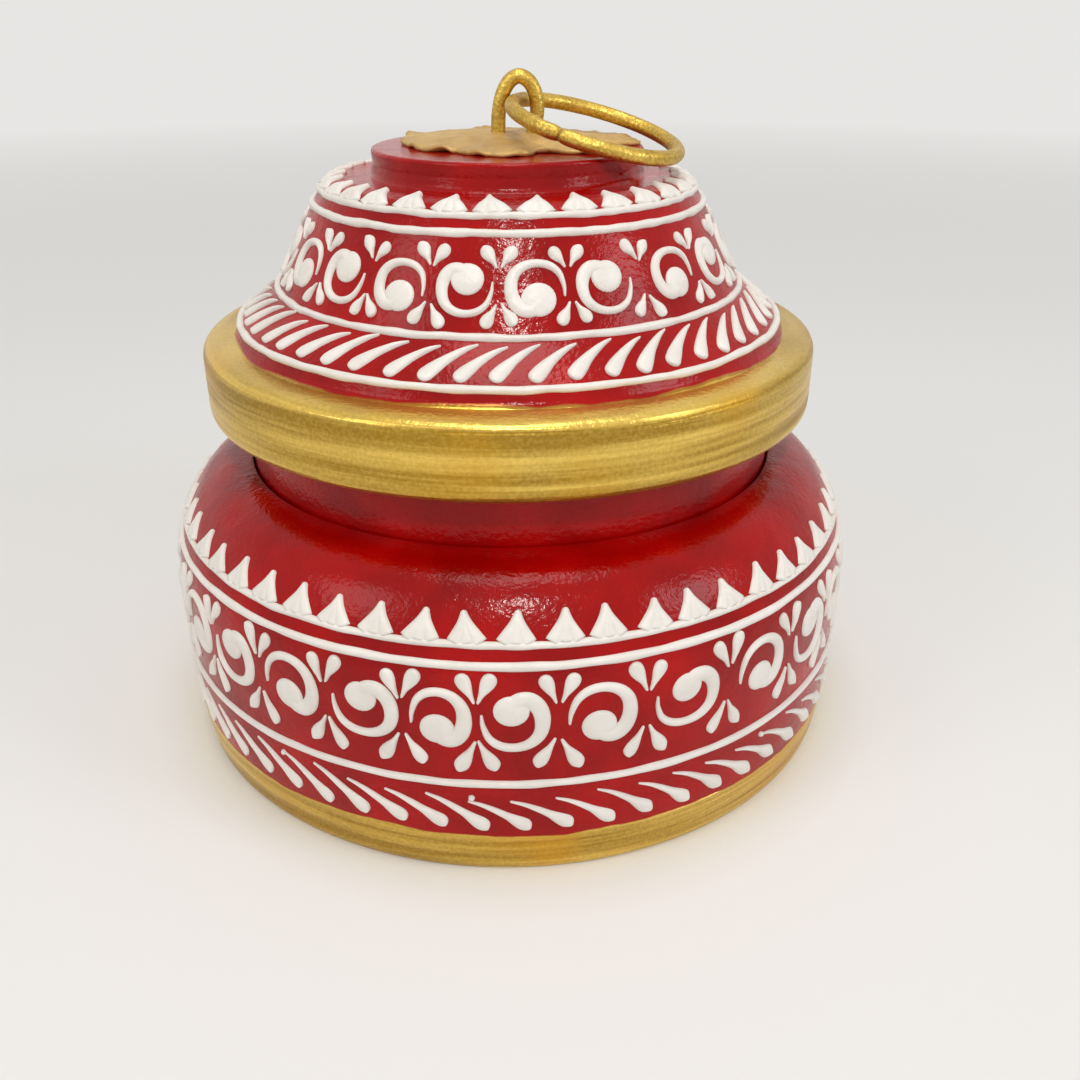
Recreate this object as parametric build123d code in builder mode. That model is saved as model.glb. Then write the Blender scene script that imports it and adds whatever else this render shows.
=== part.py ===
from build123d import *
from math import asin, atan2, cos, degrees, radians, sin
import os

os.makedirs("parts", exist_ok=True)

# Kumkum box of turned wood: a round pot and a stopper lid that carries a wire eye and a
# loose pull ring. Red lacquer, gold bands, and white lines raised from thick cone paint.
# The origin is the centre of the foot on the table, +Z is up and the front faces -Y.

# Pot
pot_height = 35.8
belly_radius = 44.2
foot_inset = 0.8
belly_start_height = 8.0
shoulder_drop = 13.8
shoulder_top_share = 0.817
floor_thickness = 8.0
cavity_floor_round = 6.0
ledge_width = 3.4
mouth_edge_round = 0.4
foot_edge_round = 0.6

# Lid
spigot_radius = 33.4
spigot_depth = 4.9
spigot_show_height = 6.6
spigot_edge_chamfer = 0.8
lid_play = 0.4
lacquer_gap = 0.1
flange_radius = 37.9
flange_thickness = 8.5
flange_round = 1.6
hollow_radius = 28.0
hollow_wall_height = 15.0
hollow_height = 29.0
hollow_roof_radius = 14.0
hollow_bulge = 3.0

# Lid outline above the flange: radius, and height above the flange's top face. The steps at
# the top are set in from the top of the cone.
dome_foot_radius = 34.0
dome_foot_rise = 0.45
skirt_radius = 33.3
skirt_rise = 2.1
waist_radius = 28.3
waist_rise = 6.0
cone_top_radius = 23.3
cone_top_rise = 15.6
border_inset = 0.9
border_rise = 17.0
crest_inset = 3.8
crest_rise = 18.4
crest_bulge = 0.3
disc_foot_rise = 18.3
disc_inset = 7.1
disc_foot_flare = 0.2
disc_thickness = 3.1
disc_edge_round = 0.5

# Wire eye and pull ring
wire_diameter = 1.7
eye_play = 0.45
eye_offset = 0.85
eye_lean = 0.45
eye_height = 8.4
eye_leg_depth = 8.0
eye_leg_bend_radius = 5.0
eye_corner_radius = 1.9
ring_radius = 9.9
ring_pivot_rise = 4.9
ring_side_tilt = 14.5
ring_front_tilt = 6.0
ring_turn = 18.0
ring_joint_gap = 0.5
ring_joint_angle = -112.0

# Gold putty patch over the disc
putty_thickness = 1.5
putty_rim_thickness = 0.5
putty_rim_margin = 0.7

# Raised white paint. A start is the direction of a band's first motif, in degrees from the
# front toward the right. A share is a part of the scroll's or the cone's height.
line_width = 0.95
paint_height = 0.5
border_line_width = 0.8
bead_sides = 12
pot_border_line_drop = 6.7
pot_upper_line_drop = 8.7
pot_lower_line_height = 12.7
pot_point_count = 54
pot_point_length = 3.3
pot_point_width = 4.3
pot_point_start = 1.8
pot_scroll_pairs = 15
pot_scroll_width = 8.1
pot_scroll_rise = 6.7
pot_scroll_lift = 1.0
pot_scroll_start = -8.6
pot_drop_length = 3.1
pot_drop_head = 1.55
pot_drop_spacing = 0.8
pot_drop_splay = 20.0
pot_upper_drop_share = 0.34
pot_lower_drop_share = 0.38
pot_slant_count = 60
pot_slant_length = 8.2
pot_slant_head = 1.75
pot_slant_height = 8.8
pot_slant_fall = 32.0
pot_slant_start = -0.4
lid_point_count = 30
lid_point_length = 2.9
lid_point_width = 4.1
lid_point_start = -3.0
lid_scroll_pairs = 10
lid_scroll_share = 0.46
lid_scroll_width = 6.5
lid_scroll_rise = 5.3
lid_scroll_start = 9.0
lid_drop_length = 2.2
lid_drop_head = 1.25
lid_drop_spacing = 0.8
lid_drop_splay = 36.0
lid_upper_drop_share = 0.42
lid_lower_drop_share = 0.36
lid_slant_count = 52
lid_slant_length = 6.4
lid_slant_head = 1.4
lid_slant_rise = 40.0
lid_slant_start = 3.5
drop_tail_share = 0.3

# Sizes that follow from the ones above
foot_radius = belly_radius - foot_inset
shoulder_height = pot_height - shoulder_drop
mouth_radius = spigot_radius + lid_play
seat_height = pot_height - spigot_depth
cavity_radius = mouth_radius - ledge_width
lid_base_height = seat_height + lacquer_gap
flange_base_height = pot_height + spigot_show_height
flange_top_height = flange_base_height + flange_thickness
border_radius = cone_top_radius - border_inset
crest_radius = cone_top_radius - crest_inset
disc_radius = cone_top_radius - disc_inset
disc_foot_radius = disc_radius + disc_foot_flare
disc_top_height = flange_top_height + disc_foot_rise + disc_thickness
wire_radius = wire_diameter / 2
eye_spacing = 2 * wire_diameter + 2 * eye_play
skin_reach = 2 * paint_height
pot_border_line_height = pot_height - pot_border_line_drop
pot_upper_line_height = pot_height - pot_upper_line_drop
pot_scroll_height = (pot_upper_line_height + pot_lower_line_height) / 2 + pot_scroll_lift


# The shoulder is two arcs that meet smoothly: a wide one up from the wall, a tight one on
shoulder_width = belly_radius - mouth_radius
shoulder_top_radius = shoulder_top_share * shoulder_width
shoulder_low_radius = (
    shoulder_width**2 + (shoulder_drop - shoulder_top_radius) ** 2 - shoulder_top_radius**2
) / (2 * (shoulder_width - shoulder_top_radius))
shoulder_low_centre = (belly_radius - shoulder_low_radius, shoulder_height)
shoulder_top_centre = (mouth_radius, pot_height - shoulder_top_radius)
shoulder_centre_run = shoulder_top_centre[0] - shoulder_low_centre[0]
shoulder_centre_rise = shoulder_top_centre[1] - shoulder_low_centre[1]
shoulder_meet_angle = degrees(atan2(shoulder_centre_rise, shoulder_centre_run))


def shoulder_arcs(growth):
    """Draw the pot's shoulder, from the wall to the mouth, grown outward."""
    top_arc_size = 90 - shoulder_meet_angle
    CenterArc(shoulder_low_centre, shoulder_low_radius + growth, 0, shoulder_meet_angle)
    CenterArc(shoulder_top_centre, shoulder_top_radius + growth, shoulder_meet_angle, top_arc_size)


def lid_point(radius, rise):
    """A point of the lid's outline, from its radius and its height above the flange."""
    return (radius, flange_top_height + rise)


# Pot: thick turned wall, a round shoulder, and a ledge inside the mouth for the lid
with BuildSketch(Plane.XZ) as pot_section:
    with BuildLine():
        Line((0, 0), (foot_radius, 0))
        TangentArc((belly_radius, belly_start_height), (foot_radius, 0), tangent=(0, -1))
        Line((belly_radius, belly_start_height), (belly_radius, shoulder_height))
        shoulder_arcs(0)
        Line((mouth_radius, pot_height), (mouth_radius, seat_height))
        Line((mouth_radius, seat_height), (cavity_radius, seat_height))
        Line((cavity_radius, seat_height), (cavity_radius, floor_thickness))
        Line((cavity_radius, floor_thickness), (0, floor_thickness))
        Line((0, floor_thickness), (0, 0))
    make_face()

with BuildPart() as pot:
    add(pot_section.sketch)
    revolve(axis=Axis.Z)
    circles = pot.edges().filter_by(GeomType.CIRCLE)
    fillet(circles.group_by(Axis.Z)[0], radius=foot_edge_round)
    cavity_corner = pot.edges().filter_by_position(Axis.Z, floor_thickness - 0.01, floor_thickness + 0.01)
    fillet(cavity_corner, radius=cavity_floor_round)
    mouth_edge = pot.edges().filter_by_position(Axis.Z, pot_height - 0.01, pot_height + 0.01)
    fillet(mouth_edge, radius=mouth_edge_round)
pot.part.label = "pot"
export_step(pot.part, "parts/pot.step")

# Lid: a hollow stopper with a thick flange, a stepped dome and a flat disc on top
eye_left = eye_offset - eye_spacing / 2 + eye_lean / 2
eye_right = eye_offset + eye_spacing / 2 - eye_lean / 2
border_point = lid_point(border_radius, border_rise)
crest_point = lid_point(crest_radius, crest_rise)
crest_mid = (
    (crest_radius + border_radius) / 2 + crest_bulge,
    flange_top_height + (crest_rise + border_rise) / 2 + crest_bulge,
)
hollow_wall_top = lid_base_height + hollow_wall_height
hollow_roof_height = lid_base_height + hollow_height
hollow_corner = (hollow_roof_radius, hollow_roof_height)
hollow_mid = (
    (hollow_radius + hollow_roof_radius) / 2 + hollow_bulge,
    (hollow_wall_top + hollow_roof_height + hollow_bulge) / 2,
)
with BuildSketch(Plane.XZ) as lid_section:
    with BuildLine():
        Line((0, disc_top_height), (disc_radius, disc_top_height))
        Line((disc_radius, disc_top_height), lid_point(disc_foot_radius, disc_foot_rise))
        Line(lid_point(disc_foot_radius, disc_foot_rise), crest_point)
        ThreePointArc(crest_point, crest_mid, border_point)
        Polyline(
            border_point,
            lid_point(cone_top_radius, cone_top_rise),
            lid_point(waist_radius, waist_rise),
            lid_point(skirt_radius, skirt_rise),
            lid_point(dome_foot_radius, dome_foot_rise),
            (flange_radius, flange_top_height),
            (flange_radius, flange_base_height),
            (spigot_radius, flange_base_height),
            (spigot_radius, lid_base_height),
            (hollow_radius, lid_base_height),
            (hollow_radius, hollow_wall_top),
        )
        ThreePointArc((hollow_radius, hollow_wall_top), hollow_mid, hollow_corner)
        Polyline(hollow_corner, (0, hollow_roof_height), (0, disc_top_height))
    make_face()

with BuildPart() as lid:
    add(lid_section.sketch)
    revolve(axis=Axis.Z)
    lid_circles = lid.edges().filter_by(GeomType.CIRCLE)
    fillet(lid_circles.filter_by(lambda e: abs(e.radius - flange_radius) < 0.01), radius=flange_round)
    disc_edge = lid.edges().filter_by(GeomType.CIRCLE).group_by(Axis.Z)[-1]
    fillet(disc_edge, radius=disc_edge_round)
    spigot_edge = (
        lid.edges()
        .filter_by(GeomType.CIRCLE)
        .group_by(Axis.Z)[0]
        .filter_by(lambda e: abs(e.radius - spigot_radius) < 0.01)
    )
    chamfer(spigot_edge, length=spigot_edge_chamfer)
    with BuildSketch(Plane.XY.offset(disc_top_height)):
        with Locations((eye_left, 0), (eye_right, 0)):
            Circle(wire_radius)
    extrude(amount=-eye_leg_depth, mode=Mode.SUBTRACT)
lid.part.label = "lid"
export_step(lid.part, "parts/lid.step")

# Wire eye: a staple of round wire, driven into two drilled holes, its top leaning right
eye_top = disc_top_height + eye_height - wire_radius
eye_bend_height = disc_top_height + wire_diameter
with BuildPart() as wire_eye:
    with BuildLine(Plane.XZ) as eye_path:
        FilletPolyline(
            (eye_left, disc_top_height - eye_leg_depth),
            (eye_left, eye_bend_height),
            (eye_left + eye_lean, eye_top),
            (eye_right + 2 * eye_lean, eye_top),
            (eye_right, eye_bend_height),
            (eye_right, disc_top_height - eye_leg_depth),
            radius=[eye_leg_bend_radius, eye_corner_radius, eye_corner_radius, eye_leg_bend_radius],
        )
    with BuildSketch(Plane(origin=eye_path.line @ 0, z_dir=eye_path.line % 0)):
        Circle(wire_radius)
    sweep(path=eye_path.line)
wire_eye.part.label = "wire_eye"
export_step(wire_eye.part, "parts/wire_eye.step")

# Pull ring: bent from the same wire, its cut ends meeting. It hangs in the eye, lies over
# to the right on the rim of the disc, and swings about the wire where it passes the eye.
lean_x = sin(radians(ring_side_tilt))
lean_y = -sin(radians(ring_front_tilt))
ring_normal = Vector(lean_x, lean_y, (1 - lean_x**2 - lean_y**2) ** 0.5)
ring_across = Vector(0, 1, 0).cross(ring_normal).normalized()
ring_along = ring_normal.cross(ring_across)
ring_to_centre = ring_across * cos(radians(ring_turn)) - ring_along * sin(radians(ring_turn))
ring_axis = ring_normal.cross(ring_to_centre).normalized()
pivot_share = (ring_pivot_rise - wire_diameter) / (eye_top - eye_bend_height)
ring_pivot = Vector(eye_offset + 1.5 * eye_lean * pivot_share, 0, disc_top_height + ring_pivot_rise)
ring_centre = ring_pivot + ring_to_centre * ring_radius
ring_plane = Plane(origin=ring_centre, x_dir=ring_to_centre, z_dir=ring_normal)
joint_gap_angle = degrees(ring_joint_gap / ring_radius)
with BuildPart() as pull_ring:
    with BuildLine(ring_plane) as ring_path:
        CenterArc((0, 0), ring_radius, ring_joint_angle + joint_gap_angle / 2, 360 - joint_gap_angle)
    with BuildSketch(Plane(origin=ring_path.line @ 0, z_dir=ring_path.line % 0)):
        Circle(wire_radius)
    sweep(path=ring_path.line)
pull_ring.part.label = "pull_ring"
export_step(pull_ring.part, "parts/pull_ring.step")

# Gold putty: an uneven patch that covers the drilled holes and leaves a red rim in sight
putty_reach = disc_radius - putty_rim_margin
putty_crown = putty_thickness - putty_rim_thickness
putty_dome_radius = (disc_radius**2 + putty_crown**2) / (2 * putty_crown)
putty_lobes = [
    (180, 0.8, 210, 0.78),
    (240, 0.86, 265, 0.92),
    (285, 0.88, 305, 0.8),
    (322, 0.74, 340, 0.9),
    (0, 0.94, 25, 0.96),
    (55, 0.9, 85, 0.86),
    (115, 0.88, 150, 0.8),
]


def putty_edge(turn, share):
    """A point of the patch's edge, from its direction and its share of the reach."""
    return (putty_reach * share * cos(radians(turn)), putty_reach * share * sin(radians(turn)))


with BuildPart() as gold_putty:
    with BuildSketch(Plane.XY.offset(disc_top_height)):
        with BuildLine():
            for index, (start_turn, start_share, mid_turn, mid_share) in enumerate(putty_lobes):
                end_turn, end_share = putty_lobes[(index + 1) % len(putty_lobes)][:2]
                ThreePointArc(
                    putty_edge(start_turn, start_share),
                    putty_edge(mid_turn, mid_share),
                    putty_edge(end_turn, end_share),
                )
        make_face()
    extrude(amount=putty_thickness)
    with Locations((0, 0, disc_top_height + putty_thickness - putty_dome_radius)):
        Sphere(putty_dome_radius, mode=Mode.INTERSECT)
    with BuildSketch(Plane.XY.offset(disc_top_height)):
        with Locations((eye_left, 0), (eye_right, 0)):
            Circle(wire_radius)
    extrude(amount=putty_thickness, mode=Mode.SUBTRACT)
gold_putty.part.label = "gold_putty"
export_step(gold_putty.part, "parts/gold_putty.step")


# The painted relief. Each motif is cut from a thin skin over the wood, so that its back
# lies face to face on the wood. Bands are named by where they run round the box.
with BuildPart() as pot_skin:
    with BuildSketch(Plane.XZ):
        with BuildLine():
            Line((0, 0), (belly_radius + paint_height, 0))
            Line((belly_radius + paint_height, 0), (belly_radius + paint_height, shoulder_height))
            shoulder_arcs(paint_height)
            Polyline((mouth_radius, pot_height + paint_height), (0, pot_height + paint_height), (0, 0))
        make_face()
    revolve(axis=Axis.Z)
    add(pot.part, mode=Mode.SUBTRACT)

with BuildPart() as lid_skin:
    with BuildSketch(Plane.XZ):
        with BuildLine():
            Polyline(
                (paint_height, flange_top_height),
                (dome_foot_radius, flange_top_height),
                lid_point(skirt_radius, skirt_rise),
                lid_point(waist_radius, waist_rise),
                lid_point(cone_top_radius, cone_top_rise),
                border_point,
            )
            ThreePointArc(border_point, crest_mid, crest_point)
            Polyline(
                crest_point,
                lid_point(disc_foot_radius, disc_foot_rise),
                lid_point(paint_height, disc_foot_rise),
                (paint_height, flange_top_height),
            )
        make_face()
        offset(amount=paint_height, kind=Kind.INTERSECTION)
    revolve(axis=Axis.Z)
    add(lid.part, mode=Mode.SUBTRACT)


def facing_plane(radius, height, lean=0.0):
    """A plane that touches the wood at the front. Its normal rises by the lean in degrees."""
    return Plane(
        origin=(0, -radius, height),
        x_dir=(1, 0, 0),
        z_dir=(0, -cos(radians(lean)), sin(radians(lean))),
    )


def drop_outline(length, head, place, turn):
    """A drop of paint, from its thin tail at the place to its round head along the turn."""
    tail_radius = drop_tail_share * head / 2
    head_radius = head / 2
    head_centre = length - head_radius - tail_radius
    slope = asin((head_radius - tail_radius) / head_centre)
    tail_corner = (-tail_radius * sin(slope), tail_radius * cos(slope))
    head_corner = (head_centre - head_radius * sin(slope), head_radius * cos(slope))
    with BuildSketch(mode=Mode.PRIVATE) as drop:
        with BuildLine():
            Line(tail_corner, head_corner)
            ThreePointArc(head_corner, (head_centre + head_radius, 0), (head_corner[0], -head_corner[1]))
            Line((head_corner[0], -head_corner[1]), (tail_corner[0], -tail_corner[1]))
            ThreePointArc((tail_corner[0], -tail_corner[1]), (-tail_radius, 0), tail_corner)
        make_face()
    return Pos(*place) * Rot(0, 0, turn) * drop.sketch


def point_outline(length, width):
    """A pointed tooth of paint with slightly hollow sides, standing on its base line."""
    with BuildSketch(mode=Mode.PRIVATE) as tooth:
        with BuildLine():
            Line((-width / 2, 0), (width / 2, 0))
            ThreePointArc((width / 2, 0), (0.2 * width, 0.42 * length), (0.08 * width, 0.95 * length))
            ThreePointArc((0.08 * width, 0.95 * length), (0, length), (-0.08 * width, 0.95 * length))
            ThreePointArc((-0.08 * width, 0.95 * length), (-0.2 * width, 0.42 * length), (-width / 2, 0))
        make_face()
    return tooth.sketch


def scroll_outline(width, rise):
    """A C scroll: a thin tail low on the left, over the top, round and into a fat curl."""
    turns = [
        ((-0.46, -0.09), (-0.4, 0.32), (0, 0.5)),
        ((0, 0.5), (0.37, 0.35), (0.5, 0.03)),
        ((0.5, 0.03), (0.42, -0.31), (0.15, -0.5)),
        ((0.15, -0.5), (-0.15, -0.38), (-0.24, -0.17)),
        ((-0.24, -0.17), (-0.06, 0.03), (0.12, -0.08)),
        ((0.12, -0.08), (0.17, -0.15), (0.24, -0.1)),
        ((0.24, -0.1), (0.24, 0.22), (0, 0.36)),
        ((0, 0.36), (-0.32, 0.25), (-0.42, -0.07)),
    ]
    with BuildSketch(mode=Mode.PRIVATE) as scroll:
        with BuildLine():
            for turn in turns:
                ThreePointArc(*[(width * x, rise * y) for x, y in turn])
            Line((-0.42 * width, -0.07 * rise), (-0.46 * width, -0.09 * rise))
        make_face()
    return scroll.sketch


def cut_motifs(outlines, plane, skin):
    """The skin inside each outline, with the outlines given on a plane that faces the front."""
    solids = []
    for outline in outlines:
        for face in outline.faces():
            placed = plane.from_local_coords(face)
            prism = extrude(placed, amount=skin_reach, both=True, dir=plane.z_dir, mode=Mode.PRIVATE)
            solids.extend((prism & skin).solids())
    return solids


def around(solids, count, first_angle=0.0):
    """Copies of the solids at even steps round the axis."""
    copies = []
    for step in range(count):
        turned = Rot(0, 0, first_angle + 360 * step / count)
        copies.extend(turned * solid for solid in solids)
    return copies


def raised_line(wood_section, radius, height, width):
    """A nearly half-round bead of paint that runs round the wood at one height."""
    with BuildPart(mode=Mode.PRIVATE) as bead:
        with BuildSketch(Plane.XZ):
            with Locations((radius, height)):
                RegularPolygon(width / 2, bead_sides)
            add(wood_section.sketch_local, mode=Mode.SUBTRACT)
        revolve(axis=Axis.Z)
    return bead.part.solids()


def drop_fan(length, head, spacing, splay, upper_tail, lower_tail):
    """Four drops between two scrolls: one pair fans out upward, the other downward."""
    return [
        drop_outline(length, head, (-spacing / 2, upper_tail), 90 + splay),
        drop_outline(length, head, (spacing / 2, upper_tail), 90 - splay),
        drop_outline(length, head, (-spacing / 2, -lower_tail), -90 - splay),
        drop_outline(length, head, (spacing / 2, -lower_tail), -90 + splay),
    ]


def slanted_drop(length, head, turn):
    """A drop along a turn, with the middle of its length at the origin."""
    run = length * cos(radians(turn)) / 2
    rise = length * sin(radians(turn)) / 2
    return drop_outline(length, head, (-run, -rise), turn)


def write_group(name, solids):
    """Write separate solids as one named group."""
    group = Compound(children=list(solids))
    group.label = name
    export_step(group, "parts/" + name + ".step")


# Pot relief, from the shoulder down: a toothed border on its line, the upper line, the
# scrolls with drops between them, the lower line, and slanted drops above the gold foot.
def wall_angle(height):
    """How far up its arcs the shoulder has turned at a height, in degrees. It is 0 on the wall."""
    if height <= shoulder_height:
        return 0.0
    low_angle = degrees(asin(min(1, (height - shoulder_height) / shoulder_low_radius)))
    if low_angle <= shoulder_meet_angle:
        return low_angle
    return degrees(asin((height - shoulder_top_centre[1]) / shoulder_top_radius))


def wall_radius(height):
    """The radius of the pot's outside at a height above the foot's curve."""
    angle = wall_angle(height)
    if angle <= shoulder_meet_angle:
        return shoulder_low_centre[0] + shoulder_low_radius * cos(radians(angle))
    return shoulder_top_centre[0] + shoulder_top_radius * cos(radians(angle))


def wall_plane(height):
    """The plane that touches the pot's front at a height."""
    return facing_plane(wall_radius(height), height, wall_angle(height))


pot_tooth = point_outline(pot_point_length, pot_point_width)
pot_tooth_plane = wall_plane(pot_border_line_height + border_line_width / 2)
pot_teeth = cut_motifs([pot_tooth], pot_tooth_plane, pot_skin.part)
write_group("pot_border_teeth", around(pot_teeth, pot_point_count, pot_point_start))

pot_lines = {
    "pot_border_line": (pot_border_line_height, border_line_width),
    "pot_upper_line": (pot_upper_line_height, line_width),
    "pot_lower_line": (pot_lower_line_height, line_width),
}
for line_name, (height, width) in pot_lines.items():
    write_group(line_name, raised_line(pot_section, wall_radius(height), height, width))

pot_step = 180 / pot_scroll_pairs
scroll_plane = wall_plane(pot_scroll_height)
arch = scroll_outline(pot_scroll_width, pot_scroll_rise)
cup = mirror(arch, about=Plane.XZ)
pot_arches = cut_motifs([arch], scroll_plane, pot_skin.part)
pot_cups = cut_motifs([cup], scroll_plane, pot_skin.part)
pot_scrolls = around(pot_arches, pot_scroll_pairs, pot_scroll_start)
pot_scrolls.extend(around(pot_cups, pot_scroll_pairs, pot_scroll_start + pot_step))
write_group("pot_scrolls", pot_scrolls)

pot_drops = drop_fan(
    pot_drop_length,
    pot_drop_head,
    pot_drop_spacing,
    pot_drop_splay,
    pot_upper_drop_share * pot_scroll_rise,
    pot_lower_drop_share * pot_scroll_rise,
)
pot_drop_solids = cut_motifs(pot_drops, scroll_plane, pot_skin.part)
pot_drop_start = pot_scroll_start + pot_step / 2
write_group("pot_scroll_drops", around(pot_drop_solids, 2 * pot_scroll_pairs, pot_drop_start))

slant = slanted_drop(pot_slant_length, pot_slant_head, -pot_slant_fall)
slant_solids = cut_motifs([slant], facing_plane(belly_radius, pot_slant_height), pot_skin.part)
write_group("pot_slanted_drops", around(slant_solids, pot_slant_count, pot_slant_start))


# Lid relief, from the top down: a toothed border on its line, the cone's upper line, the
# scrolls with drops between them, the waist line, slanted drops, and the skirt line
def cone_plane(low_radius, low_rise, high_radius, high_rise, share):
    """The plane that touches a cone of the lid at the front, at a share of its height."""
    radius = low_radius + share * (high_radius - low_radius)
    rise = low_rise + share * (high_rise - low_rise)
    lean = degrees(atan2(low_radius - high_radius, high_rise - low_rise))
    return facing_plane(radius, flange_top_height + rise, lean)


border_plane = cone_plane(border_radius, border_rise, crest_radius, crest_rise, 0)
lid_tooth = point_outline(lid_point_length, lid_point_width)
lid_teeth = cut_motifs([Pos(0, border_line_width / 2) * lid_tooth], border_plane, lid_skin.part)
write_group("lid_border_teeth", around(lid_teeth, lid_point_count, lid_point_start))

lid_lines = {
    "lid_border_line": (border_radius, border_rise, border_line_width),
    "lid_upper_line": (cone_top_radius, cone_top_rise, line_width),
    "lid_waist_line": (waist_radius, waist_rise, line_width),
    "lid_skirt_line": (skirt_radius, skirt_rise, line_width),
}
for line_name, (radius, rise, width) in lid_lines.items():
    write_group(line_name, raised_line(lid_section, radius, flange_top_height + rise, width))

lid_step = 180 / lid_scroll_pairs
cone_middle = cone_plane(waist_radius, waist_rise, cone_top_radius, cone_top_rise, lid_scroll_share)
lid_arch = mirror(scroll_outline(lid_scroll_width, lid_scroll_rise), about=Plane.YZ)
lid_cup = mirror(lid_arch, about=Plane.XZ)
lid_arches = cut_motifs([lid_arch], cone_middle, lid_skin.part)
lid_cups = cut_motifs([lid_cup], cone_middle, lid_skin.part)
lid_scrolls = around(lid_arches, lid_scroll_pairs, lid_scroll_start)
lid_scrolls.extend(around(lid_cups, lid_scroll_pairs, lid_scroll_start + lid_step))
write_group("lid_scrolls", lid_scrolls)

lid_drops = drop_fan(
    lid_drop_length,
    lid_drop_head,
    lid_drop_spacing,
    lid_drop_splay,
    lid_upper_drop_share * lid_scroll_rise,
    lid_lower_drop_share * lid_scroll_rise,
)
lid_drop_solids = cut_motifs(lid_drops, cone_middle, lid_skin.part)
lid_drop_start = lid_scroll_start + lid_step / 2
write_group("lid_scroll_drops", around(lid_drop_solids, 2 * lid_scroll_pairs, lid_drop_start))

skirt_middle = cone_plane(skirt_radius, skirt_rise, waist_radius, waist_rise, 0.5)
lid_slant = slanted_drop(lid_slant_length, lid_slant_head, 180 + lid_slant_rise)
lid_slant_solids = cut_motifs([lid_slant], skirt_middle, lid_skin.part)
write_group("lid_slanted_drops", around(lid_slant_solids, lid_slant_count, lid_slant_start))

print("ring pivot mm", ring_pivot, "axis", ring_axis, "centre", ring_centre)
print("heights mm", flange_base_height, flange_top_height, disc_top_height, eye_top + wire_radius)
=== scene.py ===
import bmesh
import bpy
import math
import random
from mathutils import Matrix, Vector, noise


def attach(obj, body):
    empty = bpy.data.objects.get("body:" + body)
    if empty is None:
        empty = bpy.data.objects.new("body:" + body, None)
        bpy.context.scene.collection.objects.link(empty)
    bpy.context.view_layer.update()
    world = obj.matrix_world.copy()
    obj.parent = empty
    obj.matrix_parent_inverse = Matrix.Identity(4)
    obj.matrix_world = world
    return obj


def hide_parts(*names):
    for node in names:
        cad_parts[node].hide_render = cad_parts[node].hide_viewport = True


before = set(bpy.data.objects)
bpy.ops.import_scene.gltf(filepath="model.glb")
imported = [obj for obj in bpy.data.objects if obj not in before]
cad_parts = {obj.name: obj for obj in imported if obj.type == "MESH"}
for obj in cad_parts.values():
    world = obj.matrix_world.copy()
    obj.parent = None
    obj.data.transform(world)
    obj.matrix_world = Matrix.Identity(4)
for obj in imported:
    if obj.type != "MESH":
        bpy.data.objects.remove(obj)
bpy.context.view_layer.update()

mm = 0.001


# Mesh helpers. Pieces are written in millimetres, in the frame of the box.
def newMesh(name, verts, faces):
    mesh = bpy.data.meshes.new(name)
    mesh.from_pydata([(x * mm, y * mm, z * mm) for x, y, z in verts], [], faces)
    mesh.validate()
    mesh.shade_smooth()
    piece = bpy.data.objects.new(name, mesh)
    bpy.context.collection.objects.link(piece)
    return piece


def finishPiece(piece, body, node, material):
    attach(piece, body)
    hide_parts(node)
    piece.data.materials.append(material)
    return piece


def arcPoints(centre, radius, startDeg, endDeg, count):
    points = []
    for step in range(count + 1):
        turn = math.radians(startDeg + (endDeg - startDeg) * step / count)
        points.append((centre[0] + radius * math.cos(turn), centre[1] + radius * math.sin(turn)))
    return points


# Corners are (x, y, radius), and each one that has a radius becomes an arc
def roundedLine(corners, count=7):
    points = []
    for index, (x, y, radius) in enumerate(corners):
        here = Vector((x, y))
        if not radius or index in (0, len(corners) - 1):
            points.append(here)
            continue
        before = (Vector(corners[index - 1][:2]) - here).normalized()
        after = (Vector(corners[index + 1][:2]) - here).normalized()
        half = before.angle(after) / 2
        reach = radius / math.tan(half)
        start = here + before * reach
        end = here + after * reach
        for step in range(count + 1):
            share = step / count
            points.append(start * (1 - share) ** 2 + here * 2 * share * (1 - share) + end * share**2)
    return [(point[0], point[1]) for point in points]


# The same line, with no stretch longer than the given length
def divided(points, longest):
    out = [points[0]]
    for a, b in zip(points, points[1:]):
        pieces = max(1, math.ceil(math.dist(a, b) / longest))
        for step in range(1, pieces + 1):
            share = step / pieces
            out.append((a[0] + (b[0] - a[0]) * share, a[1] + (b[1] - a[1]) * share))
    return out


# A turning about the axis, from an outline of (radius, height) that starts and ends on the axis
def turnedMesh(name, outline, segments, unevenness, seed):
    verts = []
    faces = []
    rings = []
    for r, z in outline:
        if r < 1e-6:
            rings.append([len(verts)])
            verts.append((0, 0, z))
            continue
        ring = []
        for step in range(segments):
            turn = 2 * math.pi * step / segments
            x, y = math.cos(turn), math.sin(turn)
            swell = unevenness * noise.noise(Vector((x * 2.2, y * 2.2, z * 0.12 + seed)))
            ring.append(len(verts))
            verts.append(((r + swell) * x, (r + swell) * y, z))
        rings.append(ring)
    for low, high in zip(rings, rings[1:]):
        for step in range(segments):
            after = (step + 1) % segments
            if len(low) == 1:
                faces.append((low[0], high[after], high[step]))
            elif len(high) == 1:
                faces.append((low[step], low[after], high[0]))
            else:
                faces.append((low[step], low[after], high[after], high[step]))
    return newMesh(name, verts, faces)


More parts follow.
